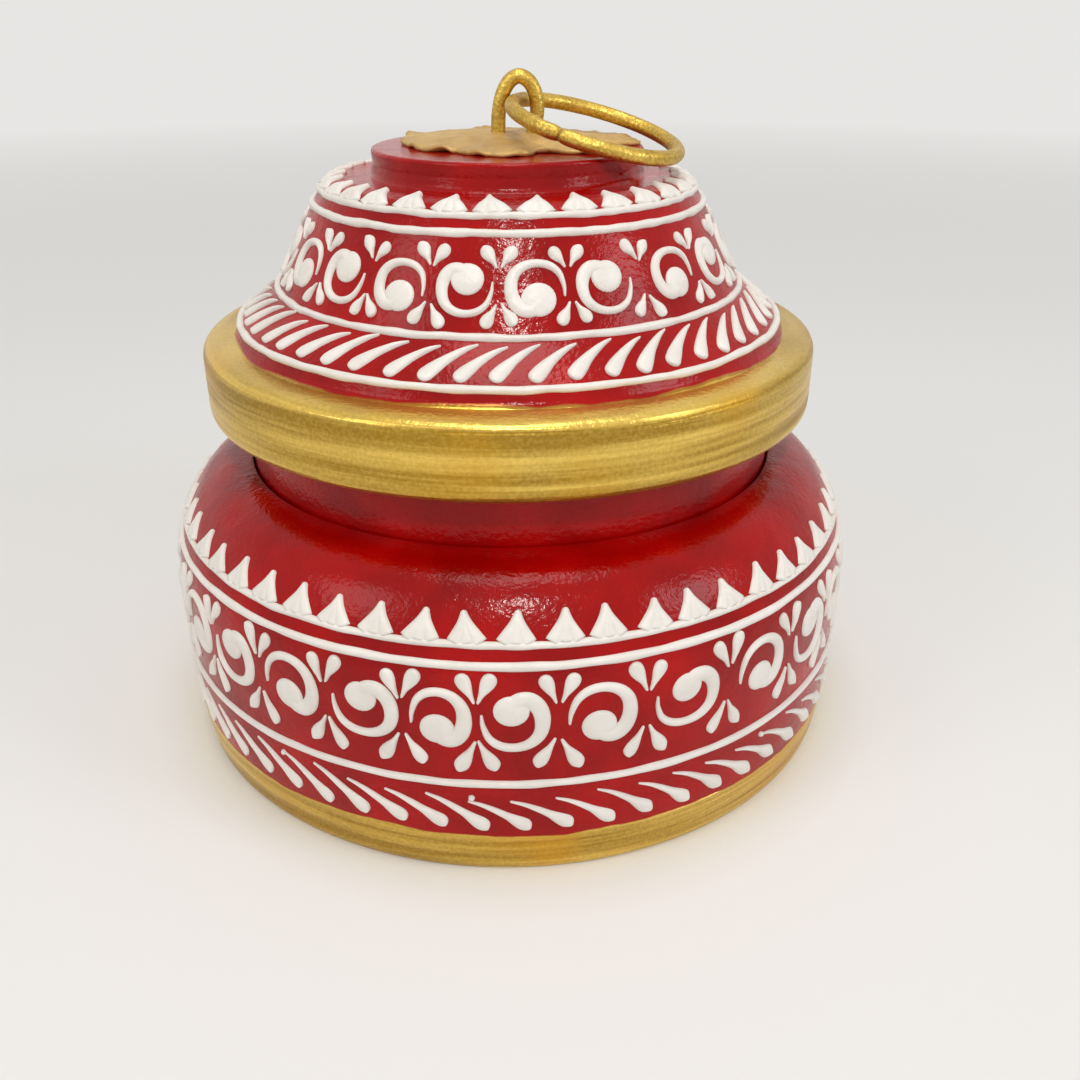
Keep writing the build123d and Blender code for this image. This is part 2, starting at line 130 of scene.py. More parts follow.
# A curve through the points, with a few steps from each one to the next
def smoothPath(points, count):
    points = [Vector(point) for point in points]
    points = [2 * points[0] - points[1]] + points + [2 * points[-1] - points[-2]]
    out = []
    for index in range(1, len(points) - 2):
        a, b, c, d = points[index - 1:index + 3]
        for step in range(count):
            t = step / count
            bend = (2 * a - 5 * b + 4 * c - d) * t**2 + (3 * b - a - 3 * c + d) * t**3
            out.append(((2 * b) + (c - a) * t + bend) / 2)
    return out + [points[-2]]


# A surface that paint lies on: a length s along a turned outline, and an angle round it
class PaintedSurface:
    step = 0.15  # between the points that lengths are measured over
    slopeReach = 0.35  # to each side of a spot, for the slope there

    def __init__(self, outline):
        self.points = divided(outline, self.step)
        self.lengths = [0.0]
        for a, b in zip(self.points, self.points[1:]):
            self.lengths.append(self.lengths[-1] + math.dist(a, b))

    def spot(self, s):
        s = min(max(s, 0.0), self.lengths[-1] - 1e-6)
        low, high = 0, len(self.lengths) - 1
        while high - low > 1:
            middle = (low + high) // 2
            if self.lengths[middle] <= s:
                low = middle
            else:
                high = middle
        share = (s - self.lengths[low]) / (self.lengths[high] - self.lengths[low])
        a, b = self.points[low], self.points[high]
        return a[0] + (b[0] - a[0]) * share, a[1] + (b[1] - a[1]) * share

    def place(self, s, angleDeg, lift):
        r, z = self.spot(s)
        r0, z0 = self.spot(s - self.slopeReach)
        r1, z1 = self.spot(s + self.slopeReach)
        span = math.hypot(r1 - r0, z1 - z0)
        r += lift * (z1 - z0) / span
        z -= lift * (r1 - r0) / span
        turn = math.radians(angleDeg)
        return (r * math.sin(turn), -r * math.cos(turn), z)

    # A place function for one motif: x runs to the right of the angle, and y up from the length
    def placer(self, angleDeg, s):
        def placeAt(x, y, lift):
            r = self.spot(s + y)[0]
            return self.place(s + y, angleDeg + math.degrees(x / r), lift)

        return placeAt

    def lengthAtHeight(self, height):
        for length, (r, z) in zip(self.lengths, self.points):
            if z >= height:
                return length
        return self.lengths[-1]


# Pot outline in millimetres. The lip stands a little inside the mouth, so that the gap is thin.
pot = {
    "height": 35.8, "footRadius": 43.4, "footCurveRadius": 40.4, "bellyRadius": 44.2, "bellyHeight": 8.0,
    "shoulderHeight": 22.0, "shoulderTopRadius": 8.5, "mouthRadius": 33.8, "seatHeight": 30.9,
    "cavityRadius": 30.4, "floorHeight": 8.0, "floorRound": 6.0, "footRound": 0.6, "mouthRound": 0.18,
    "lipRadius": 33.62, "seatRound": 0.4, "seatCorner": 0.12, "lipStart": 0.1,
}
shoulderWidth = pot["bellyRadius"] - pot["mouthRadius"]
shoulderRise = pot["height"] - pot["shoulderHeight"]
topRadius = pot["shoulderTopRadius"]
lowRadius = (shoulderWidth**2 + (shoulderRise - topRadius) ** 2 - topRadius**2) / (2 * (shoulderWidth - topRadius))
lowCentre = (pot["bellyRadius"] - lowRadius, pot["shoulderHeight"])
topCentre = (pot["mouthRadius"], pot["height"] - topRadius)
meetAngle = math.degrees(math.atan2(topCentre[1] - lowCentre[1], topCentre[0] - lowCentre[0]))
footCentre = (pot["bellyRadius"] - pot["footCurveRadius"], pot["bellyHeight"])
footAngle = math.degrees(math.asin(-pot["bellyHeight"] / pot["footCurveRadius"]))

potWall = arcPoints(footCentre, pot["footCurveRadius"], footAngle, 0, 12)
potWall += [(pot["bellyRadius"], pot["shoulderHeight"])]
potWall += arcPoints(lowCentre, lowRadius, 0, meetAngle, 20)[1:]
potWall += arcPoints(topCentre, topRadius, meetAngle, 90, 16)[1:]

footRoundCentre = (pot["footRadius"] - pot["footRound"], pot["footRound"])
wallEnd = pot["mouthRadius"] + pot["mouthRound"]
potOutline = [(0, 0)] + arcPoints(footRoundCentre, pot["footRound"], -90, -12, 6)
potOutline += [(r, z) for r, z in potWall if z > pot["footRound"] and r > wallEnd]
potOutline += roundedLine([
    (wallEnd + pot["lipStart"], pot["height"], 0),
    (pot["lipRadius"], pot["height"], pot["mouthRound"]),
    (pot["lipRadius"], pot["seatHeight"], pot["seatCorner"]),
    (pot["cavityRadius"], pot["seatHeight"], pot["seatRound"]),
    (pot["cavityRadius"], pot["floorHeight"], pot["floorRound"]),
    (0, pot["floorHeight"], 0),
])

# Lid outline in millimetres. Pairs are (radius, height).
lid = {
    "base": 31.0, "spigotRadius": 33.4, "hollowRadius": 28.0, "hollowWallTop": 46.0, "hollowRoof": 60.0,
    "hollowRoofRadius": 14.0, "flangeBase": 42.4, "flangeTop": 50.9, "flangeRadius": 37.9, "flangeRound": 1.6,
    "domeFoot": (34.0, 51.35), "skirt": (33.3, 53.0), "waist": (28.3, 56.9), "coneTop": (23.3, 66.5),
    "border": (22.4, 67.9), "borderTop": (21.3, 68.95), "crest": (19.5, 69.3), "discFoot": (16.4, 69.2),
    "discWaist": (16.05, 70.7), "discRadius": 16.2, "discTop": 72.3, "hollowShoulder": (24.0, 54.5),
}
domeLine = roundedLine([
    (*lid["domeFoot"], 0), (*lid["skirt"], 0.5), (*lid["waist"], 1.2), (*lid["coneTop"], 1.0),
    (*lid["border"], 1.2), (*lid["borderTop"], 0.9), (*lid["crest"], 0.8), (*lid["discFoot"], 0),
])
lidOutline = [(0, lid["hollowRoof"])] + roundedLine([
    (lid["hollowRoofRadius"] - 2, lid["hollowRoof"], 0),
    (lid["hollowRoofRadius"], lid["hollowRoof"], 1.5),
    (*lid["hollowShoulder"], 6.0),
    (lid["hollowRadius"], lid["hollowWallTop"], 3.0),
    (lid["hollowRadius"], lid["base"], 0.5),
    (lid["spigotRadius"] - 0.4, lid["base"], 0.5),
    (lid["spigotRadius"], lid["base"] + 0.8, 0.4),
    (lid["spigotRadius"], lid["flangeBase"], 0.15),
    (lid["flangeRadius"], lid["flangeBase"], lid["flangeRound"]),
    (lid["flangeRadius"], lid["flangeTop"], lid["flangeRound"]),
    (lid["domeFoot"][0] + 0.2, lid["domeFoot"][1], 0.15),
])
lidOutline += domeLine
lidOutline += roundedLine([
    (*lid["discFoot"], 0),
    (*lid["discWaist"], 0.6),
    (lid["discRadius"], lid["discTop"], 0.5),
    (0, lid["discTop"], 0),
])

potSurface = PaintedSurface(potWall)
lidSurface = PaintedSurface(domeLine)
lidLength = lidSurface.lengths[-1]

# Paint strokes. A station is (x, y, half width) on the surface, with x to the right and y up.
paint = {
    "lift": 0.44, "sink": 0.07, "acrossCount": 10, "spanCount": 4, "capCount": 6,
    "crownBase": 0.25, "crownPerWidth": 0.85, "strokeRound": 0.7, "blobRound": 0.42,
    "blobRise": 0.03, "blobSqueeze": 0.95, "blobRings": 7, "blobAround": 22,
    "jitterPlace": 0.12, "jitterTurn": 3.0, "jitterSize": 0.05, "lineWobble": 0.17, "lineSwell": 0.08,
}


def roundEnds(stations, startToo=True):
    first, last = stations[0], stations[-1]
    backward = (first.xy - stations[1].xy).normalized()
    forward = (last.xy - stations[-2].xy).normalized()
    start = []
    end = []
    for step in range(paint["capCount"]):
        turn = math.pi / 2 * (step + 1) / (paint["capCount"] + 0.15)
        reach, width = math.sin(turn), math.cos(turn)
        start.append(Vector((*(first.xy + backward * first.z * reach), first.z * width)))
        end.append(Vector((*(last.xy + forward * last.z * reach), last.z * width)))
    return (start[::-1] if startToo else []) + stations + end


def addStroke(verts, faces, place, stations, height=None, closed=False):
    top = height or paint["lift"]
    count = paint["acrossCount"]
    rows = []
    for index, station in enumerate(stations):
        before = stations[index - 1] if index or closed else station
        after = stations[(index + 1) % len(stations)] if index < len(stations) - 1 or closed else station
        along = Vector((1, 0)) if closed else after.xy - before.xy
        along.normalize()
        side = Vector((-along.y, along.x))
        half = max(station.z, 0.02)
        crown = min(top, paint["crownBase"] * top + paint["crownPerWidth"] * half)
        row = []
        for step in range(count + 1):
            u = math.cos(math.pi * step / count)
            lift = -paint["sink"] if step in (0, count) else crown * (1 - u * u) ** paint["strokeRound"]
            spot = station.xy + side * (u * half)
            row.append(len(verts))
            verts.append(place(spot.x, spot.y, lift))
        rows.append(row)
    pairs = list(zip(rows, rows[1:]))
    if closed:
        pairs.append((rows[-1], rows[0]))
    for low, high in pairs:
        for step in range(count):
            faces.append((low[step], low[step + 1], high[step + 1], high[step]))
    if not closed:
        faces.append(tuple(rows[0]))
        faces.append(tuple(reversed(rows[-1])))


# A stroke through a few stations, with both ends round unless the start is cut
def addSmoothStroke(verts, faces, place, stations, startToo=True, height=None):
    addStroke(verts, faces, place, roundEnds(smoothPath(stations, paint["spanCount"]), startToo), height)


def addBlob(verts, faces, place, x, y, radius, height):
    ringCount, around = paint["blobRings"], paint["blobAround"]
    centre = len(verts)
    verts.append(place(x, y, height))
    previous = None
    for ringIndex in range(1, ringCount + 1):
        share = math.sin(math.pi / 2 * ringIndex / ringCount)
        lift = -paint["sink"] if ringIndex == ringCount else height * (1 - share**2) ** paint["blobRound"]
        ring = []
        for step in range(around):
            turn = 2 * math.pi * step / around
            ring.append(len(verts))
            across = radius * share * math.cos(turn)
            upward = radius * share * paint["blobSqueeze"] * math.sin(turn)
            verts.append(place(x + across, y + upward, lift))
        for step in range(around):
            after = (step + 1) % around
            if previous is None:
                faces.append((centre, ring[step], ring[after]))
            else:
                faces.append((previous[step], ring[step], ring[after], previous[after]))
        previous = ring


# One motif by hand: moved, turned and sized a little differently each time
def varied(stations, rng, width=1.0, mirrorX=False, mirrorY=False):
    turn = math.radians(rng.uniform(-1, 1) * paint["jitterTurn"])
    size = 1 + rng.uniform(-1, 1) * paint["jitterSize"]
    moveX = rng.uniform(-1, 1) * paint["jitterPlace"]
    moveY = rng.uniform(-1, 1) * paint["jitterPlace"]
    out = []
    for x, y, half in stations:
        x = x * width * size * (-1 if mirrorX else 1)
        y = y * size * (-1 if mirrorY else 1)
        x, y = x * math.cos(turn) - y * math.sin(turn), x * math.sin(turn) + y * math.cos(turn)
        out.append((x + moveX, y + moveY, half * size))
    return out


def paintPiece(name, body, verts, faces):
    piece = newMesh(name + "_paint", verts, faces)
    fixNormals(piece)
    return finishPiece(piece, body, name, whitePaint)


def fixNormals(piece):
    form = bmesh.new()
    form.from_mesh(piece.data)
    bmesh.ops.recalc_face_normals(form, faces=form.faces)
    form.to_mesh(piece.data)
    form.free()
    piece.data.shade_smooth()


# A line drawn once round the box on a turning table. Its stations run in degrees.
def lineAround(name, body, surface, s, halfWidth, seed, stepCount):
    stations = []
    for step in range(stepCount):
        turn = 2 * math.pi * step / stepCount
        spot = Vector((math.cos(turn) * 3.1, math.sin(turn) * 3.1, seed))
        finer = Vector((math.cos(turn) * 11, math.sin(turn) * 11, seed + 4.0))
        wobble = paint["lineWobble"] * (noise.noise(spot) + 0.5 * noise.noise(finer))
        swell = paint["lineSwell"] * (noise.noise(finer * 1.3) + noise.noise(spot * 2))
        stations.append(Vector((360 * step / stepCount, wobble, halfWidth + swell)))
    verts = []
    faces = []

    def around(x, y, lift):
        return surface.placer(x, s)(0, y, lift)

    addStroke(verts, faces, around, stations, closed=True)
    return paintPiece(name, body, verts, faces)


# Motif shapes, in stations as above. Each one is sized where it is used.
archStroke = [
    (-3.65, -0.75, 0.15), (-3.55, 0.5, 0.28), (-2.95, 2.05, 0.42), (-1.7, 3.0, 0.5), (0.0, 3.25, 0.52),
    (1.6, 2.8, 0.62), (2.7, 1.7, 0.74), (3.05, 0.1, 0.84), (2.7, -1.45, 0.92), (1.75, -2.4, 0.95),
    (0.6, -2.45, 0.95), (-0.25, -1.8, 1.0),
]
archBlob = (-0.35, -1.25, 1.72)
dropStroke = [(0, 0, 0.17), (0.12, 0.8, 0.34), (0.28, 1.45, 0.62), (0.4, 1.92, 0.79), (0.5, 2.3, 0.83)]
slantStroke = [
    (-6.1, 3.5, 0.13), (-4.7, 3.0, 0.24), (-3.3, 2.25, 0.36), (-2.0, 1.4, 0.48),
    (-1.1, 0.72, 0.72), (-0.5, 0.28, 0.87), (-0.1, 0.0, 0.9),
]
commaStroke = [
    (4.3, 3.6, 0.15), (3.5, 3.2, 0.3), (2.5, 2.5, 0.46), (1.5, 1.65, 0.62), (0.6, 0.7, 0.82), (0.0, 0.0, 0.88),
]
dropHead, dropApart = 0.75, 0.32  # the room for a drop's round head, and from the middle to its tail

# A tooth is three strokes that lean together. Each is (share of the way up, half width).
tooth = {
    "stroke": [(0.15 / 2.9, 1.0), (1.0 / 2.9, 0.84), (1.9 / 2.9, 0.6), (2.75 / 2.9, 0.4)],
    "strokeWidth": 4.3, "spread": 0.31, "taper": 1.5, "sideStrength": 0.92, "lean": 0.12, "sizeJitter": 0.06,
}


def addTooth(verts, faces, place, width, height, rng):
    lean = rng.uniform(-tooth["lean"], tooth["lean"]) * width
    size = rng.uniform(1 - tooth["sizeJitter"], 1 + tooth["sizeJitter"])
    for side, strength in ((-1, tooth["sideStrength"]), (1, tooth["sideStrength"]), (0, 1.0)):
        stations = []
        for share, half in tooth["stroke"]:
            x = side * tooth["spread"] * width * (1 - share) ** tooth["taper"] + lean * share
            stations.append((x, share * height * size, half * width / tooth["strokeWidth"] * strength))
        addSmoothStroke(verts, faces, place, stations, startToo=False)


def addScroll(verts, faces, place, rng, width, scale, blob, mirrorX, mirrorY):
    stations = archStroke + [(*archBlob[:2], archBlob[2] * blob)]
    stations = [(x * scale, y * scale, half * scale) for x, y, half in stations]
    shape = varied(stations, rng, width, mirrorX, mirrorY)
    addSmoothStroke(verts, faces, place, shape[:-1])
    addBlob(verts, faces, place, *shape[-1], paint["lift"] + paint["blobRise"])


# A pair of drops that part from each other, upward or downward from their tails
def addDrops(verts, faces, place, rng, tailY, length, scale, splay, up):
    for side in (-1, 1):
        shape = []
        for x, y, half in dropStroke:
            y = y / dropStroke[-1][1] * (length - dropHead * scale)
            x = dropApart * scale + x * scale + y * splay
            shape.append((side * x, tailY + (y if up else -y), half * scale))
        addSmoothStroke(verts, faces, place, varied(shape, rng))


# Finishes
def socket(group, name, kind, output=False, default=None):
    made = group.interface.new_socket(name=name, in_out="OUTPUT" if output else "INPUT", socket_type=kind)
    if default is not None:
        made.default_value = default
    return made


def newGroup(name, inputs, outputs):
    group = bpy.data.node_groups.new(name, "ShaderNodeTree")
    for inputName, kind, default in inputs:
        socket(group, inputName, kind, default=default)
    for outputName, kind in outputs:
        socket(group, outputName, kind, output=True)
    return group, group.nodes.new("NodeGroupInput"), group.nodes.new("NodeGroupOutput")


def mathNode(tree, operation, a, b=None, clamp=False):
    node = tree.nodes.new("ShaderNodeMath")
    node.operation = operation
    node.use_clamp = clamp
    for index, value in enumerate((a, b)):
        if value is None:
            continue
        if isinstance(value, (int, float)):
            node.inputs[index].default_value = value
        else:
            tree.links.new(value, node.inputs[index])
    return node.outputs[0]


def noiseNode(tree, vector, scale, detail=3.0, roughness=0.55):
    node = tree.nodes.new("ShaderNodeTexNoise")
    node.inputs["Detail"].default_value = detail
    node.inputs["Roughness"].default_value = roughness
    tree.links.new(vector, node.inputs["Vector"])
    if isinstance(scale, (int, float)):
        node.inputs["Scale"].default_value = scale
    else:
        tree.links.new(scale, node.inputs["Scale"])
    return node.outputs["Fac"]


def rangeNode(tree, value, low, high, toLow=0.0, toHigh=1.0):
    node = tree.nodes.new("ShaderNodeMapRange")
    for name, number in (("From Min", low), ("From Max", high), ("To Min", toLow), ("To Max", toHigh)):
        node.inputs[name].default_value = number
    tree.links.new(value, node.inputs["Value"])
    return node.outputs["Result"]


def mixColour(tree, fac, a, b):
    node = tree.nodes.new("ShaderNodeMix")
    node.data_type = "RGBA"
    for slotName, value in (("A", a), ("B", b)):
        target = [item for item in node.inputs if item.name == slotName and item.type == "RGBA"][0]
        if isinstance(value, tuple):
            target.default_value = (*value, 1)
        else:
            tree.links.new(value, target)
    tree.links.new(fac, node.inputs["Factor"])
    return [item for item in node.outputs if item.type == "RGBA"][0]


# Colour that drifts from one tone to another, as hand-laid paint does
def makeToneGroup():
    group, entry, leave = newGroup(
        "handLaidTone",
        [("Tone", "NodeSocketColor", (0.5, 0.5, 0.5, 1)), ("Deep Tone", "NodeSocketColor", (0.3, 0.3, 0.3, 1)),
         ("Scale", "NodeSocketFloat", 90.0), ("Contrast", "NodeSocketFloat", 1.0)],
        [("Color", "NodeSocketColor"), ("Mask", "NodeSocketFloat")],
    )
    place = group.nodes.new("ShaderNodeTexCoord").outputs["Object"]
    wide = noiseNode(group, place, entry.outputs["Scale"], 4.0)
    centred = mathNode(group, "SUBTRACT", wide, 0.5)
    stretched = mathNode(group, "MULTIPLY", centred, entry.outputs["Contrast"])
    mask = mathNode(group, "ADD", stretched, 0.5, clamp=True)
    colour = mixColour(group, mask, entry.outputs["Tone"], entry.outputs["Deep Tone"])
    group.links.new(colour, leave.inputs["Color"])
    group.links.new(mask, leave.inputs["Mask"])
    return group


# Fine ripple of a brushed coat, with broader unevenness under it
def makeRippleGroup():
    group, entry, leave = newGroup(
        "coatRipple",
        [("Fine Scale", "NodeSocketFloat", 900.0), ("Broad Scale", "NodeSocketFloat", 140.0),
         ("Fine Share", "NodeSocketFloat", 0.4)],
        [("Height", "NodeSocketFloat")],
    )
    place = group.nodes.new("ShaderNodeTexCoord").outputs["Object"]
    fine = noiseNode(group, place, entry.outputs["Fine Scale"], 2.0)
    broad = noiseNode(group, place, entry.outputs["Broad Scale"], 2.0, 0.4)
    height = mathNode(group, "ADD", broad, mathNode(group, "MULTIPLY", fine, entry.outputs["Fine Share"]))
    group.links.new(height, leave.inputs["Height"])
    return group


# Metal powder in paint: streaks that run round the box, and small bright and dark flakes
def makeFlakeGroup():
    group, entry, leave = newGroup(
        "goldPowder",
        [("Streak Scale", "NodeSocketFloat", 700.0), ("Flake Scale", "NodeSocketFloat", 1500.0),
         ("Streak Stretch", "NodeSocketFloat", 0.06)],
        [("Streak", "NodeSocketFloat"), ("Flake", "NodeSocketFloat")],
    )
    place = group.nodes.new("ShaderNodeTexCoord").outputs["Object"]
    stretch = group.nodes.new("ShaderNodeCombineXYZ")
    for axis in ("X", "Y"):
        group.links.new(entry.outputs["Streak Stretch"], stretch.inputs[axis])
    stretch.inputs["Z"].default_value = 1.0
    scaled = group.nodes.new("ShaderNodeVectorMath")
    scaled.operation = "MULTIPLY"
    group.links.new(place, scaled.inputs[0])
    group.links.new(stretch.outputs[0], scaled.inputs[1])
    streak = noiseNode(group, scaled.outputs[0], entry.outputs["Streak Scale"], 3.0, 0.6)
    flake = noiseNode(group, place, entry.outputs["Flake Scale"], 1.0)
    group.links.new(rangeNode(group, streak, 0.3, 0.7), leave.inputs["Streak"])
    group.links.new(rangeNode(group, flake, 0.38, 0.66), leave.inputs["Flake"])
    return group


toneGroup = makeToneGroup()
rippleGroup = makeRippleGroup()
flakeGroup = makeFlakeGroup()


def placeGroup(tree, group, values):
    node = tree.nodes.new("ShaderNodeGroup")
    node.node_tree = group
    for name, value in values.items():
        node.inputs[name].default_value = (*value, 1) if isinstance(value, tuple) else value
    return node


def newMaterial(name):
    material = bpy.data.materials.new(name)
    material.use_nodes = True
    tree = material.node_tree
    return material, tree, tree.nodes["Principled BSDF"]


def addBump(tree, shader, height, distance, strength=1.0):
    bump = tree.nodes.new("ShaderNodeBump")
    bump.inputs["Strength"].default_value = strength
    bump.inputs["Distance"].default_value = distance
    tree.links.new(height, bump.inputs["Height"])
    tree.links.new(bump.outputs["Normal"], shader.inputs["Normal"])


def handLaid(tree, finish):
    return placeGroup(tree, toneGroup, {
        "Tone": finish["tone"], "Deep Tone": finish["deep"], "Scale": finish["toneScale"],
        "Contrast": finish["contrast"],
    })


def metalPowder(tree, finish):
    return placeGroup(tree, flakeGroup, {
        "Streak Scale": finish["streakScale"], "Flake Scale": finish["flakeScale"],
        "Streak Stretch": finish["streakStretch"],
    })


def rippleHeight(tree, finish):
    return placeGroup(tree, rippleGroup, {
        "Fine Scale": finish["fineScale"], "Broad Scale": finish["broadScale"], "Fine Share": finish["fineShare"],
    }).outputs["Height"]


# The first value by its share, and the second by the rest
def shareOut(tree, first, share, second):
    rest = mathNode(tree, "MULTIPLY", second, 1 - share)
    return mathNode(tree, "ADD", mathNode(tree, "MULTIPLY", first, share), rest)


redLacquer = {
    "tone": (0.45, 0.0015, 0.001), "deep": (0.25, 0.0003, 0.0004), "toneScale": 110.0, "contrast": 2.2,
    "specular": 0.22, "roughness": 0.12, "roughMore": 0.08,
    "fineScale": 1700.0, "broadScale": 170.0, "fineShare": 0.3, "bumpDepth": 0.00022,
}
goldPaint = {
    "tone": (0.88, 0.61, 0.14), "deep": (0.37, 0.215, 0.025), "metallic": 0.85, "roughLow": 0.22, "roughHigh": 0.42,
    "warm": (0.74, 0.35, 0.01), "warmShare": 0.55, "warmScale": 42.0,
    "streakScale": 620.0, "flakeScale": 2600.0, "streakStretch": 0.03, "streakShare": 0.8, "streakDepth": 0.8,
    "edgeWave": 0.0016, "edgeWaveScale": 90.0, "innerWave": 0.4, "edgeSoft": 0.00008,
}


# The gold band: between two heights in metres, and outside a radius
def goldMask(tree, place, low, high, inner):
    soft = goldPaint["edgeSoft"]
    parts = tree.nodes.new("ShaderNodeSeparateXYZ")
    tree.links.new(place, parts.inputs[0])
    wave = mathNode(tree, "SUBTRACT", noiseNode(tree, place, goldPaint["edgeWaveScale"], 3.0), 0.5)
    wave = mathNode(tree, "MULTIPLY", wave, goldPaint["edgeWave"])
    squares = [mathNode(tree, "POWER", parts.outputs[axis], 2.0) for axis in ("X", "Y")]
    radius = mathNode(tree, "SQRT", mathNode(tree, "ADD", *squares))
    radius = mathNode(tree, "ADD", radius, mathNode(tree, "MULTIPLY", wave, goldPaint["innerWave"]))
    below = rangeNode(tree, mathNode(tree, "ADD", parts.outputs["Z"], wave), high - soft, high + soft, 1.0, 0.0)
    above = rangeNode(tree, parts.outputs["Z"], low - soft, low + soft)
    outside = rangeNode(tree, radius, inner - soft, inner + soft)
    return mathNode(tree, "MULTIPLY", mathNode(tree, "MULTIPLY", below, above), outside)


# Red lacquer over the wood, with a gold band where the mask says
def makeWoodMaterial(name, goldLow, goldHigh, goldInner):
    material, tree, shader = newMaterial(name)
    shader.inputs["Specular IOR Level"].default_value = redLacquer["specular"]
    place = tree.nodes.new("ShaderNodeTexCoord").outputs["Object"]
    gold = goldMask(tree, place, goldLow, goldHigh, goldInner)
    red = handLaid(tree, redLacquer)
    powder = metalPowder(tree, goldPaint)
    streak = powder.outputs["Streak"]
    share = shareOut(tree, rangeNode(tree, streak, 0.2, 0.8), goldPaint["streakShare"], powder.outputs["Flake"])
    warmth = rangeNode(tree, noiseNode(tree, place, goldPaint["warmScale"], 2.0), 0.5, 0.72)
    warmth = mathNode(tree, "MULTIPLY", warmth, goldPaint["warmShare"])
    goldColour = mixColour(tree, share, goldPaint["deep"], goldPaint["tone"])
    goldColour = mixColour(tree, warmth, goldColour, goldPaint["warm"])
    tree.links.new(mixColour(tree, gold, red.outputs["Color"], goldColour), shader.inputs["Base Color"])
    tree.links.new(mathNode(tree, "MULTIPLY", gold, goldPaint["metallic"]), shader.inputs["Metallic"])
    goldRough = rangeNode(tree, streak, 0.0, 1.0, goldPaint["roughHigh"], goldPaint["roughLow"])
    redMost = redLacquer["roughness"] + redLacquer["roughMore"]
    redRough = rangeNode(tree, red.outputs["Mask"], 0.0, 1.0, redLacquer["roughness"], redMost)
    extra = mathNode(tree, "MULTIPLY", mathNode(tree, "SUBTRACT", goldRough, redRough), gold)
    tree.links.new(mathNode(tree, "ADD", redRough, extra), shader.inputs["Roughness"])
    streaks = mathNode(tree, "MULTIPLY", mathNode(tree, "MULTIPLY", streak, goldPaint["streakDepth"]), gold)
    addBump(tree, shader, mathNode(tree, "ADD", rippleHeight(tree, redLacquer), streaks), redLacquer["bumpDepth"])
    return material


whiteFinish = {
    "tone": (0.86, 0.83, 0.78), "deep": (0.74, 0.69, 0.63), "toneScale": 260.0, "contrast": 1.6, "roughness": 0.34,
    "roughMore": 0.15, "fineScale": 2200.0, "broadScale": 700.0, "fineShare": 0.5, "bumpDepth": 0.00009,
}


def makeWhitePaint():
    material, tree, shader = newMaterial("offWhiteConePaint")
    tone = handLaid(tree, whiteFinish)
    most = whiteFinish["roughness"] + whiteFinish["roughMore"]
    rough = rangeNode(tree, tone.outputs["Mask"], 0, 1, whiteFinish["roughness"], most)
    tree.links.new(tone.outputs["Color"], shader.inputs["Base Color"])
    tree.links.new(rough, shader.inputs["Roughness"])
    addBump(tree, shader, rippleHeight(tree, whiteFinish), whiteFinish["bumpDepth"])
    return material


# The flakes are the smoother part of a metal paint
def addFlakeGloss(tree, shader, finish, powder):
    shader.inputs["Metallic"].default_value = finish["metallic"]
    most = finish["roughness"] + finish["roughMore"]
    rough = rangeNode(tree, powder.outputs["Flake"], 0, 1, most, finish["roughness"])
    tree.links.new(rough, shader.inputs["Roughness"])
    addBump(tree, shader, rippleHeight(tree, finish), finish["bumpDepth"])


wireFinish = {
    "tone": (0.80, 0.56, 0.12), "deep": (0.42, 0.25, 0.04), "roughness": 0.3, "roughMore": 0.2, "metallic": 0.95,
    "streakScale": 500.0, "flakeScale": 3200.0, "streakStretch": 1.0, "streakShare": 0.45,
    "fineScale": 2600.0, "broadScale": 600.0, "fineShare": 0.7, "bumpDepth": 0.00012,
}


def makeBrassWire():
    material, tree, shader = newMaterial("brassGoldWire")
    powder = metalPowder(tree, wireFinish)
    share = shareOut(tree, powder.outputs["Streak"], wireFinish["streakShare"], powder.outputs["Flake"])
    tree.links.new(mixColour(tree, share, wireFinish["deep"], wireFinish["tone"]), shader.inputs["Base Color"])
    addFlakeGloss(tree, shader, wireFinish, powder)
    return material


puttyFinish = {
    "tone": (0.70, 0.47, 0.17), "deep": (0.46, 0.27, 0.08), "toneScale": 240.0, "contrast": 2.2,
    "roughness": 0.42, "roughMore": 0.15, "metallic": 0.35,
    "streakScale": 400.0, "flakeScale": 2800.0, "streakStretch": 1.0,
    "fineScale": 1400.0, "broadScale": 330.0, "fineShare": 0.3, "bumpDepth": 0.0003,
}


def makePutty():
    material, tree, shader = newMaterial("tanGoldPutty")
    tree.links.new(handLaid(tree, puttyFinish).outputs["Color"], shader.inputs["Base Color"])
    addFlakeGloss(tree, shader, puttyFinish, metalPowder(tree, puttyFinish))
    return material


potLacquer = makeWoodMaterial("potLacquerAndGold", -0.001, 0.0055, 0.0)
lidLacquer = makeWoodMaterial("lidLacquerAndGold", 0.04236, 0.0530, 0.03395)
whitePaint = makeWhitePaint()
brassWire = makeBrassWire()
tanPutty = makePutty()
print("finishes made")

# Turned wood
wood = {"segments": 256, "longest": 1.2, "unevenness": 0.04}
for node, outline, seed, lacquer in (("pot", potOutline, 1.0, potLacquer), ("lid", lidOutline, 2.0, lidLacquer)):
    points = divided(outline, wood["longest"])
    piece = turnedMesh(node + "_wood", points, wood["segments"], wood["unevenness"], seed)
    finishPiece(piece, node + "_body", node, lacquer)
    fixNormals(piece)
print("wood turned")

# Angles are in degrees from the front toward the right
def evenAngles(count, start, rng, jitter):
    for index in range(count):
        yield start + 360 / count * index + rng.uniform(-jitter, jitter)


# The angles halfway from each scroll to the next one round
def anglesBetween(scrolls):
    for index, (angle, width) in enumerate(scrolls):
        following = scrolls[(index + 1) % len(scrolls)][0]
        yield angle + ((following - angle) % 360) / 2


